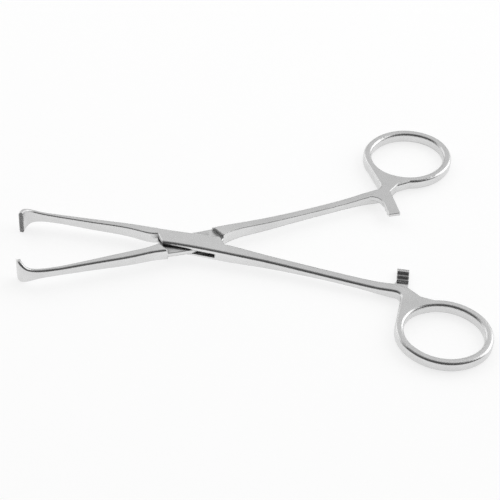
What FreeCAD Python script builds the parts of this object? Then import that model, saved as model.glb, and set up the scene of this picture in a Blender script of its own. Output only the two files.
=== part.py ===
import FreeCAD, Part

import math
import os

# Intestinal tissue forceps: two crossed forgings that turn on one riveted pivot pin.
# Millimetres, +Z up, +X towards the finger rings, origin on the pivot axis at the
# underside of the box lock. Each half is drawn closed, with its jaw on the -Y side and
# its ring on the +Y side, level with the mid plane, and is then turned to the open pose.
# The box half is the mirror image of that drawing, the tenon half is the drawing itself.

# Open pose: each half is turned this far from closed, in degrees
OPEN_ANGLE = 10.6

# Box lock
LOCK_THICKNESS = 4.4
LOCK_HALF_LENGTH = 10.6
LOCK_END_ANGLE = 59.0
LOCK_WAIST = 3.15
SHOULDER_CLEARANCE = 0.1
TENON_THICKNESS = 1.5
TENON_CLEARANCE = 0.05
TENON_WAIST = 3.7
MORTISE_OVERRUN = 0.75
MORTISE_END_ANGLE = 55.0
MORTISE_END_CLEARANCE = 0.25
LOCK_CORNER_Y = 0.3
PIN_RADIUS = 1.5
PIN_CLEARANCE = 0.03

# Jaw
JAW_REACH = 56.9
JAW_ROOT_OFFSET = 4.2
JAW_ROOT_DROP = 0.6
JAW_ROOT_THICKNESS = 3.3
JAW_NECK_THICKNESS = 1.48
JAW_NECK_HEIGHT = 3.1
JAW_BOW = 4.62
TIP_HEIGHT = 9.2
TIP_THICKNESS = 1.4
TIP_TURN_LENGTH = 5.5
TOOTH_COUNT = 10
TOOTH_DEPTH = 0.8
TOOTH_CLEARANCE = 0.12
JAW_OUTER_RADIUS = 0.8
JAW_INNER_CHAMFER = 0.25

# Shank
SHANK_WAIST_HEIGHT = 2.36
SHANK_WIDTH = 2.87
SHANK_ROOT_SWELL = 1.0
SHANK_END_SWELL = 0.23
SHANK_ROOT_LENGTH = 3.4
SHANK_START_Y = 2.9
SHANK_END_X = 62.0
SHANK_END_Y = 9.62
SHANK_SAG = 0.365

# Finger ring, placed from the end of the shank
HANDLE_HEIGHT = 3.7
RING_SETBACK = 21.5
RING_RISE = 16.38
RING_HOLE_LENGTH = 25.5
RING_HOLE_WIDTH = 21.6
RING_END_RADIUS = 9.55
RING_BAND = 2.8
HANDLE_EDGE_RADIUS = 0.95

# Web between the shank, the ring and the ratchet
NECK_DROP = 2.75
NECK_REACH = 2.0
NECK_LEAN = 1.4
OUTER_CROTCH_RADIUS = 2.0
JAW_SIDE_CROTCH_RADIUS = 4.0
RING_SIDE_CROTCH_RADIUS = 2.7

# Ratchet, placed from the end of the shank
RATCHET_SETBACK = 7.7
RATCHET_WIDTH = 3.9
RATCHET_OVERLAP = 1.3
RATCHET_GAP = 0.1
RATCHET_PITCH = 1.95
RATCHET_DEPTH = 0.85
RATCHET_LOCK_ANGLE = 50.0
RATCHET_LAND = 0.08
RATCHET_TEETH = 3
RATCHET_TIP_FLAT = 0.6
RATCHET_ROOT_Y = 8.2

MORTISE_HALF_LENGTH = LOCK_HALF_LENGTH + MORTISE_OVERRUN
SHANK_START_X = LOCK_HALF_LENGTH + SHANK_ROOT_LENGTH
RING_CENTRE_X = SHANK_END_X + RING_SETBACK
RING_CENTRE_Y = SHANK_END_Y + RING_RISE
RATCHET_X = SHANK_END_X + RATCHET_SETBACK
MID_Z = LOCK_THICKNESS / 2
TALL = 2 * TIP_HEIGHT
Z_AXIS = FreeCAD.Vector(0, 0, 1)
ORIGIN = FreeCAD.Vector(0, 0, 0)


def at(x, y, z=0.0):
    return FreeCAD.Vector(x, y, z)


def spline(points):
    curve = Part.BSplineCurve()
    curve.interpolate(points)
    return curve.toShape()


def polygon(points):
    return Part.Face(Part.makePolygon(points + [points[0]]))


def slab(face, low, high):
    """A plan face extruded from one height to another, both counted from the mid plane."""
    moved = face.copy()
    moved.translate(at(0, 0, low))
    return moved.extrude(at(0, 0, high - low))


def arc(centre, radius, first_deg, last_deg):
    points = []
    for angle in (first_deg, (first_deg + last_deg) / 2, last_deg):
        turn = math.radians(angle)
        points.append(centre + at(radius * math.cos(turn), radius * math.sin(turn)))
    return Part.Arc(*points).toShape()


def ring_face(offset):
    """The oval of the finger hole, made of four tangent arcs and grown by an offset."""
    centre = at(RING_CENTRE_X, RING_CENTRE_Y)
    end_shift = RING_HOLE_LENGTH / 2 - RING_END_RADIUS
    side_rise = RING_HOLE_WIDTH / 2 - RING_END_RADIUS
    side_shift = (end_shift ** 2 - side_rise ** 2) / (2 * side_rise)
    side_radius = RING_HOLE_WIDTH / 2 + side_shift + offset
    end_radius = RING_END_RADIUS + offset
    joint = math.degrees(math.atan2(side_shift, end_shift))
    edges = [
        arc(centre + at(end_shift, 0), end_radius, -joint, joint),
        arc(centre + at(0, -side_shift), side_radius, joint, 180 - joint),
        arc(centre + at(-end_shift, 0), end_radius, 180 - joint, 180 + joint),
        arc(centre + at(0, side_shift), side_radius, 180 + joint, 360 - joint),
    ]
    return Part.Face(Part.Wire(edges))


def shank_point(share, side):
    """A point on the shank's outer (side +1) or inner (side -1) edge, by share of its length."""
    x = SHANK_START_X + share * (SHANK_END_X - SHANK_START_X)
    chord = SHANK_START_Y + share * (SHANK_END_Y - SHANK_START_Y)
    centre = chord - 4 * SHANK_SAG * share * (1 - share)
    swell = SHANK_ROOT_SWELL * (1 - share) ** 6 + SHANK_END_SWELL * share ** 6
    return at(x, centre + side * (SHANK_WIDTH + swell) / 2)


def on_line(crossing_x, angle_deg, y):
    """The point at height y on a plan line that crosses the X axis at the given angle."""
    return at(crossing_x + y / math.tan(math.radians(angle_deg)), y)


def jaw_point(share, side):
    """A point on the jaw's outer (side 0) or inner (side 1) edge, from its root to the turn."""
    reach = JAW_REACH - TIP_TURN_LENGTH
    x = -LOCK_HALF_LENGTH - 2 - share * (reach - LOCK_HALF_LENGTH - 2)
    outer = JAW_ROOT_OFFSET + share * (JAW_BOW - JAW_ROOT_OFFSET) - JAW_ROOT_DROP * (1 - share) ** 6
    thickness = JAW_NECK_THICKNESS
    thickness += (JAW_ROOT_THICKNESS - JAW_NECK_THICKNESS) * (1 - share) ** 1.3
    return at(x, side * thickness - outer)


def crest_y():
    """How far the tooth crests reach past the closing plane."""
    return (TOOTH_DEPTH - TOOTH_CLEARANCE) / 2


def jaw_edges(outer_start, inner_end):
    """The jaw's outline from the lock round the turned tip and back to the lock."""
    shares = [0.0, 0.15, 0.5, 1.0]
    crest = crest_y()
    outer = outer_start + [jaw_point(share, 0) for share in shares] + [
        at(-JAW_REACH + 1.8, -JAW_BOW * 0.82),
        at(-JAW_REACH + 0.4, -JAW_BOW * 0.45),
        at(-JAW_REACH, crest),
    ]
    inner = [
        at(-JAW_REACH + TIP_THICKNESS, crest),
        at(-JAW_REACH + TIP_THICKNESS + 0.4, -JAW_BOW * 0.3),
        at(-JAW_REACH + TIP_THICKNESS + 1.5, -JAW_BOW * 0.57),
    ]
    inner += [jaw_point(share, 1) for share in reversed(shares)] + inner_end
    return [spline(outer), Part.makeLine(outer[-1], inner[0]), spline(inner)]


def half_face(jaw_side, shank_side):
    """The plan of jaw, lock and shank, drawn round the corners of the lock."""
    shares = [0.0, 0.2, 0.45, 0.75, 1.0]
    jaw = jaw_edges(jaw_side["outer"], jaw_side["inner"])
    outer = spline(shank_side["outer"] + [shank_point(share, 1) for share in shares])
    end = Part.makeLine(shank_point(1, 1), shank_point(1, -1))
    inner_points = [shank_point(share, -1) for share in reversed(shares)] + shank_side["inner"]
    inner = spline(inner_points)
    left_end = Part.makeLine(jaw_side["inner"][-1], shank_side["outer"][0])
    right_end = Part.makeLine(shank_side["inner"][-1], jaw_side["outer"][0])
    return Part.Face(Part.Wire([outer, end, inner, right_end] + jaw + [left_end]))


def neck_face():
    """The flat web that joins the shank, the ring and the root of the ratchet bar."""
    ring_left = RING_CENTRE_X - RING_HOLE_LENGTH / 2 - RING_BAND
    ring_bottom = RING_CENTRE_Y - RING_HOLE_WIDTH / 2 - RING_BAND
    bar_left = RATCHET_X - RATCHET_WIDTH / 2
    bar_right = RATCHET_X + RATCHET_WIDTH / 2
    return polygon([
        shank_point(1, -1),
        at(bar_left, RATCHET_ROOT_Y + 0.3),
        at(bar_right, ring_bottom - NECK_DROP),
        at(bar_right + RING_SIDE_CROTCH_RADIUS, ring_bottom - NECK_DROP / 4),
        at(RING_CENTRE_X - NECK_REACH, ring_bottom + 0.6),
        at(RING_CENTRE_X, RING_CENTRE_Y),
        at(ring_left + 0.01, RING_CENTRE_Y),
        outer_crotch(),
        shank_point(1, 1),
    ])


def outer_crotch():
    """The corner outside the handle where the shank's line meets the ring's neck."""
    ring_left = RING_CENTRE_X - RING_HOLE_LENGTH / 2 - RING_BAND
    ring_bottom = RING_CENTRE_Y - RING_HOLE_WIDTH / 2 - RING_BAND
    return at(ring_left + NECK_LEAN, ring_bottom - 0.4)


def side_band():
    """The side profile: a thick lock, thinner jaw and handle, and a tall flared jaw tip."""
    half = LOCK_THICKNESS / 2
    tip = TIP_HEIGHT / 2
    neck = JAW_NECK_HEIGHT / 2
    waist = SHANK_WAIST_HEIGHT / 2
    handle = HANDLE_HEIGHT / 2
    root = LOCK_HALF_LENGTH + 2
    turn = JAW_REACH - TIP_TURN_LENGTH
    end_x = RING_CENTRE_X + RING_HOLE_LENGTH
    span = SHANK_END_X - root
    jaw = [
        at(-JAW_REACH - 0.5, 0, tip),
        at(-JAW_REACH + 1.2, 0, 0.93 * tip),
        at(-JAW_REACH + 2.7, 0, 0.67 * tip),
        at(-turn - 0.5, 0, 0.8 * neck + 0.2 * tip),
        at(-turn + 3, 0, 0.96 * neck + 0.04 * tip),
        at(-turn + 7.5, 0, neck),
    ]
    shank = [
        at(root, 0, half),
        at(root + 0.23 * span, 0, 0.6 * half + 0.4 * waist),
        at(root + 0.47 * span, 0, 0.22 * half + 0.78 * waist),
        at(root + 0.76 * span, 0, waist),
        at(root + 0.95 * span, 0, 0.75 * waist + 0.25 * handle),
        at(SHANK_END_X + 2, 0, 0.3 * waist + 0.7 * handle),
        at(SHANK_END_X + 4.6, 0, handle),
    ]
    top = [
        spline(jaw),
        Part.makeLine(jaw[-1], at(-root, 0, half)),
        Part.makeLine(at(-root, 0, half), shank[0]),
        spline(shank),
    ]
    handle_end = at(end_x, 0, handle)
    top.append(Part.makeLine(shank[-1], handle_end))
    bottom = [edge.mirror(ORIGIN, Z_AXIS) for edge in top]
    right = Part.makeLine(handle_end, at(end_x, 0, -handle))
    left = Part.makeLine(at(jaw[0].x, 0, -tip), jaw[0])
    face = Part.Face(Part.Wire(top + [right] + bottom[::-1] + [left]))
    face.translate(at(0, -TALL * 3, 0))
    return face.extrude(at(0, TALL * 6, 0))


def vertical_edge_near(shape, point):
    """The upright edge of a prism that stands nearest to a plan point."""
    upright = []
    for edge in shape.Edges:
        first, last = edge.Vertexes[0].Point, edge.Vertexes[-1].Point
        if (at(first.x, first.y) - at(last.x, last.y)).Length < 0.001:
            upright.append(edge)
    return min(upright, key=lambda edge: (at(edge.CenterOfMass.x, edge.CenterOfMass.y) - point).Length)


def outline_edges(solid, wanted):
    """The long edges round a blank's top and bottom faces whose centre is wanted."""
    found = []
    for edge in solid.Edges:
        heights = edge.Vertexes[0].Point.z * edge.Vertexes[-1].Point.z
        if heights > 0 and edge.BoundBox.XLength > TIP_THICKNESS / 4 and wanted(edge.CenterOfMass):
            found.append(edge)
    return found


def blank(jaw_side, shank_side):
    """The forging of one half before the lock, the ratchet and the teeth are machined."""
    prisms = [slab(face, -TALL, TALL) for face in (neck_face(), ring_face(RING_BAND))]
    solid = slab(half_face(jaw_side, shank_side), -TALL, TALL).fuse(prisms)
    solid = solid.removeSplitter().Solids[0]
    crotch = vertical_edge_near(solid, outer_crotch())
    solid = solid.makeFillet(OUTER_CROTCH_RADIUS, [crotch])
    solid = solid.cut(slab(ring_face(0), -TALL, TALL))
    solid = solid.common(side_band()).Solids[0]
    solid = solid.makeFillet(HANDLE_EDGE_RADIUS, outline_edges(solid, on_handle))
    solid = solid.makeChamfer(JAW_INNER_CHAMFER, outline_edges(solid, on_jaw_inside))
    return solid.makeFillet(JAW_OUTER_RADIUS, outline_edges(solid, on_jaw_outside))


def on_handle(centre):
    """Along the shank's outer side and round the ring, but not at the root of the bar."""
    share = (centre.x - SHANK_START_X) / (SHANK_END_X - SHANK_START_X)
    share = min(max(share, 0), 1)
    outside = centre.y > (shank_point(share, -1).y + shank_point(share, 1).y) / 2
    bar_root = centre.x < RATCHET_X + RATCHET_WIDTH and centre.y < RATCHET_ROOT_Y + RATCHET_WIDTH
    return outside and not (centre.x > SHANK_END_X and bar_root)


def on_jaw_outside(centre):
    limit = 0.7 * JAW_BOW if centre.x < -LOCK_HALF_LENGTH else 0.8 * LOCK_WAIST
    return centre.y < -limit


def on_jaw_inside(centre):
    return centre.x < -LOCK_HALF_LENGTH and -0.7 * JAW_BOW < centre.y < -LOCK_CORNER_Y


def lock_strip(half_length, angle_deg, low, high):
    """A block across the lock between two slanted end planes."""
    reach = 3 * LOCK_WAIST
    return slab(polygon([
        on_line(-half_length, angle_deg, -reach),
        on_line(half_length, angle_deg, -reach),
        on_line(half_length, angle_deg, reach),
        on_line(-half_length, angle_deg, reach),
    ]), low, high)


def ratchet_bar():
    """The bar across the handle, above the mid plane, with saw teeth on its lower face."""
    left = RATCHET_X - RATCHET_WIDTH / 2
    right = RATCHET_X + RATCHET_WIDTH / 2
    ring_bottom = RING_CENTRE_Y - RING_HOLE_WIDTH / 2 - RING_BAND
    root = ring_bottom - NECK_DROP / 4
    tip = -RATCHET_OVERLAP
    left_arc = arc(at(left - JAW_SIDE_CROTCH_RADIUS, RATCHET_ROOT_Y - JAW_SIDE_CROTCH_RADIUS),
                   JAW_SIDE_CROTCH_RADIUS, 0, 90)
    right_arc = arc(at(right + RING_SIDE_CROTCH_RADIUS, root - RING_SIDE_CROTCH_RADIUS),
                    RING_SIDE_CROTCH_RADIUS, 90, 180)
    upper_left = at(left - JAW_SIDE_CROTCH_RADIUS, RATCHET_ROOT_Y + HANDLE_HEIGHT / 4)
    upper_right = at(right + RING_SIDE_CROTCH_RADIUS, root + HANDLE_EDGE_RADIUS)
    edges = [
        Part.makeLine(at(left, tip), left_arc.Vertexes[0].Point),
        left_arc,
        Part.makeLine(left_arc.Vertexes[-1].Point, upper_left),
        Part.makeLine(upper_left, upper_right),
        Part.makeLine(upper_right, right_arc.Vertexes[0].Point),
        right_arc,
        Part.makeLine(right_arc.Vertexes[-1].Point, at(right, tip)),
        Part.makeLine(at(right, tip), at(left, tip)),
    ]
    bar = slab(Part.Face(Part.Wire(edges)), RATCHET_GAP / 2, HANDLE_HEIGHT / 2)
    return bar.cut(ratchet_notches(left, tip))


def ratchet_notches(left, tip):
    """Wedges cut from the bar: a ramp on the tip side of each tooth, the locking face behind it."""
    low = RATCHET_GAP / 2
    deep = low + RATCHET_DEPTH
    lock_run = RATCHET_DEPTH / math.tan(math.radians(RATCHET_LOCK_ANGLE))
    ramp_run = RATCHET_PITCH - RATCHET_LAND - lock_run
    crest = tip + RATCHET_TIP_FLAT + ramp_run
    outlines = [[
        at(left, crest, low),
        at(left, crest - ramp_run, deep),
        at(left, tip, deep),
        at(left, tip, low),
    ]]
    for number in range(RATCHET_TEETH):
        front = crest + RATCHET_LAND + number * RATCHET_PITCH
        outlines.append([
            at(left, front + lock_run + ramp_run, low),
            at(left, front + lock_run, deep),
            at(left, front, low),
        ])
    return [polygon(points).extrude(at(RATCHET_WIDTH, 0, 0)) for points in outlines]


def tooth_notches(centres, open_ends):
    """Vee notches across the jaw tip; open ends also clear the metal outside the last ones."""
    pitch = TIP_HEIGHT / TOOTH_COUNT
    crest = crest_y()
    root = crest - TOOTH_DEPTH
    spread = pitch / 2 / TOOTH_DEPTH
    top = crest + pitch
    x = -JAW_REACH - 1
    cutters = []
    for centre in centres:
        half = spread * (top - root)
        points = [at(x, root, centre), at(x, top, centre - half), at(x, top, centre + half)]
        if open_ends and abs(centre) > TIP_HEIGHT / 2 - pitch:
            side = math.copysign(TIP_HEIGHT, centre)
            points = [at(x, root, centre), at(x, top, centre - math.copysign(half, centre)),
                      at(x, top, side), at(x, root, side)]
        cutters.append(polygon(points).extrude(at(TIP_TURN_LENGTH, 0, 0)))
    return cutters


def pivot_hole(radius):
    return Part.makeCylinder(radius, LOCK_THICKNESS * 2, at(0, 0, -LOCK_THICKNESS))


def place(solid, turn_deg):
    """Turn a finished half about the pivot to its open pose and raise it to its height."""
    solid = solid.removeSplitter()
    solid.rotate(ORIGIN, Z_AXIS, turn_deg)
    solid.translate(at(0, 0, MID_Z))
    return solid


def box_half():
    """The half whose lock is two plates with a mortise between them."""
    end = LOCK_HALF_LENGTH
    jaw_side = {
        "outer": [on_line(end, LOCK_END_ANGLE, -LOCK_WAIST), at(0, -LOCK_WAIST)],
        "inner": [on_line(-end, LOCK_END_ANGLE, -2 * LOCK_CORNER_Y)],
    }
    shank_side = {
        "outer": [on_line(-end, LOCK_END_ANGLE, LOCK_WAIST), at(2, TENON_WAIST)],
        "inner": [on_line(end, LOCK_END_ANGLE, 2 * LOCK_CORNER_Y)],
    }
    solid = blank(jaw_side, shank_side)
    slot = TENON_THICKNESS / 2 + TENON_CLEARANCE
    solid = solid.cut([
        lock_strip(MORTISE_HALF_LENGTH, -MORTISE_END_ANGLE, -slot, slot),
        pivot_hole(PIN_RADIUS),
    ])
    solid = solid.fuse(ratchet_bar()).mirror(ORIGIN, Z_AXIS)
    pitch = TIP_HEIGHT / TOOTH_COUNT
    centres = [(number - TOOTH_COUNT / 2) * pitch for number in range(TOOTH_COUNT + 1)]
    solid = solid.cut(tooth_notches(centres, False))
    return place(solid.mirror(ORIGIN, at(0, 1, 0)), -OPEN_ANGLE)


def tenon_half():
    """The half whose lock is a thin tenon between slanted shoulders."""
    nose = MORTISE_HALF_LENGTH - MORTISE_END_CLEARANCE
    jaw_side = {
        "outer": [on_line(nose, MORTISE_END_ANGLE, -TENON_WAIST), at(0, -TENON_WAIST),
                  at(-LOCK_HALF_LENGTH + 2, -TENON_WAIST)],
        "inner": [on_line(-nose, MORTISE_END_ANGLE, LOCK_CORNER_Y)],
    }
    shank_side = {
        "outer": [on_line(-nose, MORTISE_END_ANGLE, TENON_WAIST), at(0, TENON_WAIST + 0.2)],
        "inner": [on_line(nose, MORTISE_END_ANGLE, -LOCK_CORNER_Y)],
    }
    solid = blank(jaw_side, shank_side)
    shoulder = LOCK_HALF_LENGTH + SHOULDER_CLEARANCE / math.sin(math.radians(LOCK_END_ANGLE))
    recess = lock_strip(shoulder, -LOCK_END_ANGLE, TENON_THICKNESS / 2, TALL)
    solid = solid.cut([
        recess,
        recess.mirror(ORIGIN, Z_AXIS),
        pivot_hole(PIN_RADIUS + PIN_CLEARANCE),
    ])
    solid = solid.fuse(ratchet_bar())
    pitch = TIP_HEIGHT / TOOTH_COUNT
    centres = [(number + 0.5 - TOOTH_COUNT / 2) * pitch for number in range(TOOTH_COUNT)]
    solid = solid.cut(tooth_notches(centres, True))
    return place(solid, OPEN_ANGLE)


def pivot_pin():
    return Part.makeCylinder(PIN_RADIUS, LOCK_THICKNESS)


os.makedirs("parts", exist_ok=True)
box_half().exportStep("parts/box_half.step")
tenon_half().exportStep("parts/tenon_half.step")
pivot_pin().exportStep("parts/pivot_pin.step")
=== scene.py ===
import math

import bpy
from mathutils import Matrix, Vector

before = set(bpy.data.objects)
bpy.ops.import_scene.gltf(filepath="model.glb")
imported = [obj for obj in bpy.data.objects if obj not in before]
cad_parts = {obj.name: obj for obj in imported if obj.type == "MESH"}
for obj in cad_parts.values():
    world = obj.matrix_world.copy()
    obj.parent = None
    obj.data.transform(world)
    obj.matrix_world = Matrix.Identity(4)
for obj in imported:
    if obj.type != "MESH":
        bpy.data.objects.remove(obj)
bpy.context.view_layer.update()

# Camera: the photograph's viewing angle, fitted to the instrument's outline
CAMERA_PITCH = 45.3
CAMERA_YAW = 7.305
CAMERA_ROLL = -4.785
CAMERA_LENS = 108.0
CAMERA_SENSOR = 36.0
CAMERA_CLIP = (0.01, 20.0)
CAMERA_PLACE = (-0.0246106, -0.3443855, 0.3498995)

# The table touches the jaw tips and the undersides of the rings
TABLE_TIP = (-0.0555, -0.00229)
TABLE_RING = (0.0920, 0.00034)
TABLE_HALF_SIZE = 3.0
TABLE_TONE = 0.3

# How far each half is turned from closed in the stored pose, which turns its grain
OPEN_ANGLE = math.radians(10.6)

# Light panels: place, aim, size in metres and radiance, where 1 shows as white
PANELS = {
    "back_panel": ((0.1, 1.22, 1.16), (0, 0, 0), (2.6, 1.35), 0.5),
    "ceiling_panel": ((0, 0.35, 1.5), (0, 0, 0), (1.6, 0.85), 0.16),
    "left_panel": ((-0.95, 0.7, 0.75), (0, 0, 0), (1.2, 1.2), 0.6),
    "right_panel": ((1.1, 0.3, 0.8), (0, 0, 0), (1.2, 1.2), 1.2),
}

# The room: its soft light, and what the camera and reflections see of it, which is white
# round the horizon and dim above; the heights are sines of the elevation
ROOM_LIGHT = 0.36
HORIZON_SEEN = 1.0
ROOM_SEEN = 0.07
HORIZON_HEIGHTS = (0.16, 0.34)

# Light that only the camera and reflections see on the table top, which makes it white: near
# the instrument and far off, and the distances between which it grows
TABLE_GLOW = (0.755, 1.0)
TABLE_GLOW_REACH = (0.35, 1.6)

# Radius by which the polishing wheel breaks the sharp edges: in general, on the jaw
# teeth, which lie beyond TEETH_X, and round the pivot, where the pin is ground flush
EDGE_BREAK = 0.0006
TEETH_BREAK = 0.0003
TEETH_X = -0.0525
PIVOT_BREAK = 0.00001
PIVOT_REACH = 0.0026

# Painted shade: the metal's colour is darkened in the crevices, as ambient occlusion finds them
# closed in. Its reach, its openness from darkest to none, and its tone, in general, on the jaw
# teeth and on the lock's upper side as far as the shoulder, where the painted shade is deeper
CREVICE_REACH = 0.0012
CREVICE_OPEN = (0.4, 0.9)
TEETH_REACH = 0.0008
TEETH_OPEN = (0.5, 0.8)
PAINTED_SHADE_TONE = 0.25
LOCK_REACH = 0.004
LOCK_OPEN = (0.55, 0.97)
LOCK_RADIUS = 0.0135
LOCK_MIDDLE_Z = 0.0022
LOCK_SHOULDER_X = 0.006

# Tone of the arms, between which a cloudy noise varies it. The lock is ground a little
# brighter and fades into them.
ARM_TONE = (0.70, 0.75)
LOCK_BRIGHTER = 1.08
LOCK_FADE = (0.010, 0.026)
CLOUD_SCALE = 180.0

# The grain's ridges per metre across, along and down, its roughness and its height
GRAIN_SCALE = (5200, 420, 2600)
GRAIN_ROUGHNESS = (0.24, 0.31)
GRAIN_STRENGTH = 0.06
GRAIN_HEIGHT = 0.00004

# The part of a noise's range that it mostly keeps to
NOISE_RANGE = (0.3, 0.7)

CREVICE_SAMPLES = 8
EDGE_SAMPLES = 16


def make_camera():
    """A camera whose right, down and forward axes come from the fitted angles."""
    pitch, yaw, roll = (math.radians(a) for a in (CAMERA_PITCH, CAMERA_YAW, CAMERA_ROLL))
    forward = Vector((
        math.sin(yaw) * math.cos(pitch),
        math.cos(yaw) * math.cos(pitch),
        -math.sin(pitch),
    ))
    level = Vector((math.cos(yaw), -math.sin(yaw), 0))
    steep = forward.cross(level)
    right = math.cos(roll) * level + math.sin(roll) * steep
    down = -math.sin(roll) * level + math.cos(roll) * steep
    turn = Matrix((right, -down, -forward)).transposed()
    data = bpy.data.cameras.new("camera")
    data.sensor_fit = "HORIZONTAL"
    data.sensor_width = CAMERA_SENSOR
    data.lens = CAMERA_LENS
    data.clip_start, data.clip_end = CAMERA_CLIP
    camera = bpy.data.objects.new("camera", data)
    camera.matrix_world = Matrix.Translation(Vector(CAMERA_PLACE)) @ turn.to_4x4()
    bpy.context.collection.objects.link(camera)
    bpy.context.scene.camera = camera


class Nodes:
    """A material's node tree, with short calls to add and join nodes."""

    def __init__(self, tree):
        self.tree = tree
        tree.nodes.clear()

    def add(self, kind, inputs=None, **settings):
        node = self.tree.nodes.new(kind)
        for name, value in settings.items():
            setattr(node, name, value)
        for name, value in (inputs or {}).items():
            if isinstance(value, bpy.types.NodeSocket):
                self.tree.links.new(value, node.inputs[name])
            else:
                node.inputs[name].default_value = value
        return node

    def math(self, operation, first, second):
        return self.add("ShaderNodeMath", {0: first, 1: second}, operation=operation).outputs[0]

    def spread(self, value, start, end):
        """A value's range mapped to another range."""
        return self.add("ShaderNodeMapRange", {
            "Value": value, "From Min": start[0], "From Max": start[1],
            "To Min": end[0], "To Max": end[1]}).outputs[0]

    def choose(self, mask, usual, there):
        """One number where the mask is 0 and another where it is 1."""
        return self.spread(mask, (0.0, 1.0), (usual, there))


def shares(nodes, place):
    """Masks that are 1 on the jaw teeth, round the pivot and on the lock's upper side as far
    as the shoulder, and the distance from the pivot's axis."""
    spot = nodes.add("ShaderNodeSeparateXYZ", {"Vector": place})
    flat = nodes.add("ShaderNodeVectorMath", {0: place, 1: (1, 1, 0)}, operation="MULTIPLY")
    length = nodes.add("ShaderNodeVectorMath", {0: flat.outputs[0]}, operation="LENGTH")
    distance = length.outputs["Value"]
    teeth = nodes.math("LESS_THAN", spot.outputs["X"], TEETH_X)
    pivot = nodes.math("LESS_THAN", distance, PIVOT_REACH)
    lock = nodes.math("LESS_THAN", distance, LOCK_RADIUS)
    above = nodes.math("GREATER_THAN", spot.outputs["Z"], LOCK_MIDDLE_Z)
    before = nodes.math("LESS_THAN", spot.outputs["X"], LOCK_SHOULDER_X)
    # Painted shade and painted dark reflection: the crevice darkening is made deeper here, on the
    # lock plate's side above the tenon
    lock_shade_mask = nodes.math("MULTIPLY", lock, nodes.math("MULTIPLY", above, before))
    return teeth, pivot, lock_shade_mask, distance


def painted_crevice_shade(nodes, teeth, lock_shade_mask):
    """Painted shade: the share of the metal's own colour that is left in a crevice, less where
    ambient occlusion finds it closed in.
    """
    reach, darkest, lightest = (
        nodes.choose(teeth, nodes.choose(lock_shade_mask, usual, on_lock), on_teeth)
        for usual, on_lock, on_teeth in (
            (CREVICE_REACH, LOCK_REACH, TEETH_REACH),
            (CREVICE_OPEN[0], LOCK_OPEN[0], TEETH_OPEN[0]),
            (CREVICE_OPEN[1], LOCK_OPEN[1], TEETH_OPEN[1])))
    crevice = nodes.add(
        "ShaderNodeAmbientOcclusion", {"Distance": reach}, samples=CREVICE_SAMPLES)
    return nodes.spread(crevice.outputs["AO"], (darkest, lightest), (PAINTED_SHADE_TONE, 1.0))


def satin_steel(name, turn):
    """Satin ground steel, with a fine grain across the arm that is turned by an angle."""
    material = bpy.data.materials.new(name)
    material.use_nodes = True
    nodes = Nodes(material.node_tree)
    place = nodes.add("ShaderNodeTexCoord")
    along = nodes.add("ShaderNodeMapping", {
        "Vector": place.outputs["Object"],
        "Rotation": (0, 0, -turn),
        "Scale": GRAIN_SCALE,
    })
    fine = nodes.add("ShaderNodeTexNoise", {
        "Vector": along.outputs[0], "Scale": 1.0, "Detail": 3.0, "Roughness": 0.6})
    cloud = nodes.add("ShaderNodeTexNoise", {
        "Vector": place.outputs["Object"], "Scale": CLOUD_SCALE, "Detail": 4.0, "Roughness": 0.55})
    tone = nodes.spread(cloud.outputs["Fac"], NOISE_RANGE, ARM_TONE)
    teeth, pivot, lock_shade_mask, distance = shares(nodes, place.outputs["Object"])
    brighter = nodes.spread(distance, LOCK_FADE, (LOCK_BRIGHTER, 1.0))
    ground = nodes.math("MULTIPLY", tone, brighter)
    # The ground tone with painted shade in the crevices, on the jaw teeth and on the lock's side
    shade = nodes.math("MULTIPLY", ground, painted_crevice_shade(nodes, teeth, lock_shade_mask))
    colour = nodes.add("ShaderNodeCombineColor", {"Red": shade, "Green": shade, "Blue": shade})
    rough = nodes.spread(fine.outputs["Fac"], NOISE_RANGE, GRAIN_ROUGHNESS)
    radius = nodes.choose(pivot, nodes.choose(teeth, EDGE_BREAK, TEETH_BREAK), PIVOT_BREAK)
    edge = nodes.add("ShaderNodeBevel", {"Radius": radius}, samples=EDGE_SAMPLES)
    bump = nodes.add("ShaderNodeBump", {
        "Height": fine.outputs["Fac"], "Strength": GRAIN_STRENGTH, "Distance": GRAIN_HEIGHT,
        "Normal": edge.outputs[0]})
    shader = nodes.add("ShaderNodeBsdfPrincipled", {
        "Base Color": colour.outputs[0], "Metallic": 1.0,
        "Roughness": rough, "Normal": bump.outputs[0]})
    nodes.add("ShaderNodeOutputMaterial", {"Surface": shader.outputs[0]})
    return material


def dress(node, material):
    """Give a node one material all over."""
    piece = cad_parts[node]
    piece.data.materials.clear()
    piece.data.materials.append(material)


def seen_rays(nodes):
    """1 for the rays by which the camera, metal and glass see a surface, and 0 for light."""
    path = nodes.add("ShaderNodeLightPath")
    mirrored = nodes.math(
        "MAXIMUM", path.outputs["Is Glossy Ray"], path.outputs["Is Transmission Ray"])
    return nodes.math("MAXIMUM", path.outputs["Is Camera Ray"], mirrored)


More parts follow.
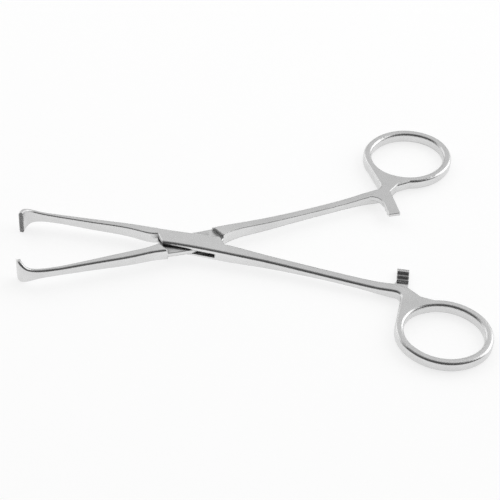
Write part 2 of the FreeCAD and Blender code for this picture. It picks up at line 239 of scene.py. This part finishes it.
def make_table():
    """A pale table top, tilted a little so that the jaw tips and the rings rest on it."""
    slope = math.atan2(TABLE_RING[1] - TABLE_TIP[1], TABLE_RING[0] - TABLE_TIP[0])
    mesh = bpy.data.meshes.new("table")
    corners = [(x * TABLE_HALF_SIZE, y * TABLE_HALF_SIZE, 0)
               for x, y in ((-1, -1), (1, -1), (1, 1), (-1, 1))]
    mesh.from_pydata(corners, [], [(0, 1, 2, 3)])
    table = bpy.data.objects.new("table", mesh)
    table.location = (TABLE_TIP[0], 0, TABLE_TIP[1])
    table.rotation_euler = (0, -slope, 0)
    bpy.context.collection.objects.link(table)
    material = bpy.data.materials.new("white_table")
    material.use_nodes = True
    nodes = Nodes(material.node_tree)
    place = nodes.add("ShaderNodeTexCoord")
    away = nodes.add("ShaderNodeVectorMath", {0: place.outputs["Object"]}, operation="LENGTH")
    white = nodes.spread(away.outputs["Value"], TABLE_GLOW_REACH, TABLE_GLOW)
    glow = nodes.math("MULTIPLY", seen_rays(nodes), white)
    shader = nodes.add("ShaderNodeBsdfPrincipled", {
        "Base Color": (TABLE_TONE, TABLE_TONE, TABLE_TONE, 1), "Roughness": 1.0,
        "Specular IOR Level": 0.0,
        "Emission Color": (1, 1, 1, 1), "Emission Strength": glow})
    nodes.add("ShaderNodeOutputMaterial", {"Surface": shader.outputs[0]})
    mesh.materials.append(material)


def make_world():
    """A room that is white round the horizon and dim above, between the light panels."""
    world = bpy.data.worlds.new("studio")
    bpy.context.scene.world = world
    world.use_nodes = True
    nodes = Nodes(world.node_tree)
    place = nodes.add("ShaderNodeTexCoord")
    towards = nodes.add("ShaderNodeSeparateXYZ", {"Vector": place.outputs["Generated"]})
    room = nodes.spread(towards.outputs["Z"], HORIZON_HEIGHTS, (HORIZON_SEEN, ROOM_SEEN))
    sky = nodes.add("ShaderNodeBackground", {
        "Color": (1, 1, 1, 1),
        "Strength": nodes.choose(seen_rays(nodes), ROOM_LIGHT, room)})
    nodes.add("ShaderNodeOutputWorld", {"Surface": sky.outputs[0]})


def area_light(name, place, target, size, radiance):
    """A rectangular panel that faces its target and shows at the given radiance."""
    data = bpy.data.lights.new(name, "AREA")
    data.shape = "RECTANGLE"
    data.size, data.size_y = size
    data.energy = 4 * size[0] * size[1] * radiance
    lamp = bpy.data.objects.new(name, data)
    lamp.location = place
    aim = Vector(target) - Vector(place)
    lamp.rotation_euler = aim.to_track_quat("-Z", "Y").to_euler()
    bpy.context.collection.objects.link(lamp)


bpy.context.scene.view_settings.view_transform = "Standard"
make_camera()
make_world()
make_table()
for panel, settings in PANELS.items():
    area_light(panel, *settings)

dress("box_half", satin_steel("steel_box_half", -OPEN_ANGLE))
dress("tenon_half", satin_steel("steel_tenon_half", OPEN_ANGLE))
dress("pivot_pin", satin_steel("steel_pin", 0.0))
